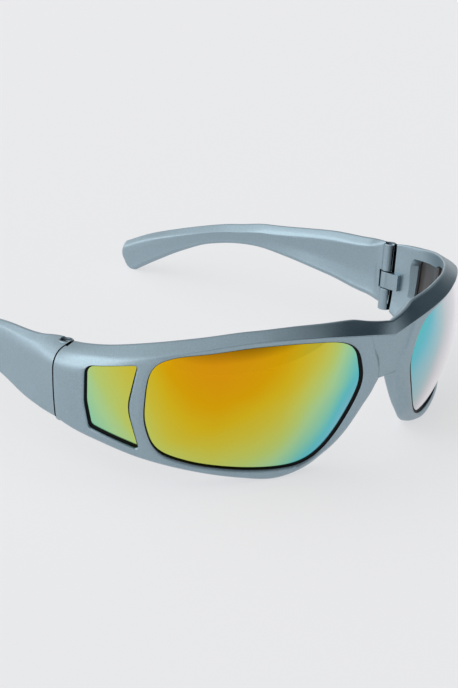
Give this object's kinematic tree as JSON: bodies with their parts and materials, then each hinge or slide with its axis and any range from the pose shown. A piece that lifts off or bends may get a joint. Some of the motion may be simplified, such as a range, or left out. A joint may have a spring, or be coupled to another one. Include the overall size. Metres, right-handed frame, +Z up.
{
  "type": "wrap-around sports sunglasses",
  "caption": "Wrap-around sports sunglasses: a moulded satin front with large curved mirror lenses, small side lenses and temples that fold on screw hinges.",
  "frame": {"origin": "middle of the box of the open sunglasses, on the table that the rims and temple tips rest on", "axes": "+Z up, -Y the way the wearer looks, +X towards the wearer's left, the temples run along +Y"},
  "size_m": [0.1454, 0.159, 0.0406],
  "materials": {
    "frame_paint": "satin metallic silver-grey paint on moulded nylon",
    "temple_paint": "satin metallic silver-grey paint on moulded nylon",
    "mirror_lens": "polished polycarbonate with an orange to blue mirror coat, dark brown on the back",
    "screw_steel": "turned steel"
  },
  "bodies": {
    "front": {"front_frame": "frame_paint", "lens_right": "mirror_lens", "lens_left": "mirror_lens", "side_lens_right": "mirror_lens", "side_lens_left": "mirror_lens"},
    "left_temple": {"temple_left": "temple_paint", "hinge_screw_left": "screw_steel"},
    "right_temple": {"temple_right": "temple_paint", "hinge_screw_right": "screw_steel"}
  },
  "joints": [
    {"name": "left_temple_fold", "type": "hinge", "parent": "front", "child": "left_temple", "pos_m": [0.06694, -0.02792, 0.0224], "axis": [0, 0, 1], "range_deg": [0, 90]},
    {"name": "right_temple_fold", "type": "hinge", "parent": "front", "child": "right_temple", "pos_m": [-0.06694, -0.02792, 0.0224], "axis": [0, 0, -1], "range_deg": [0, 82]}
  ]
}
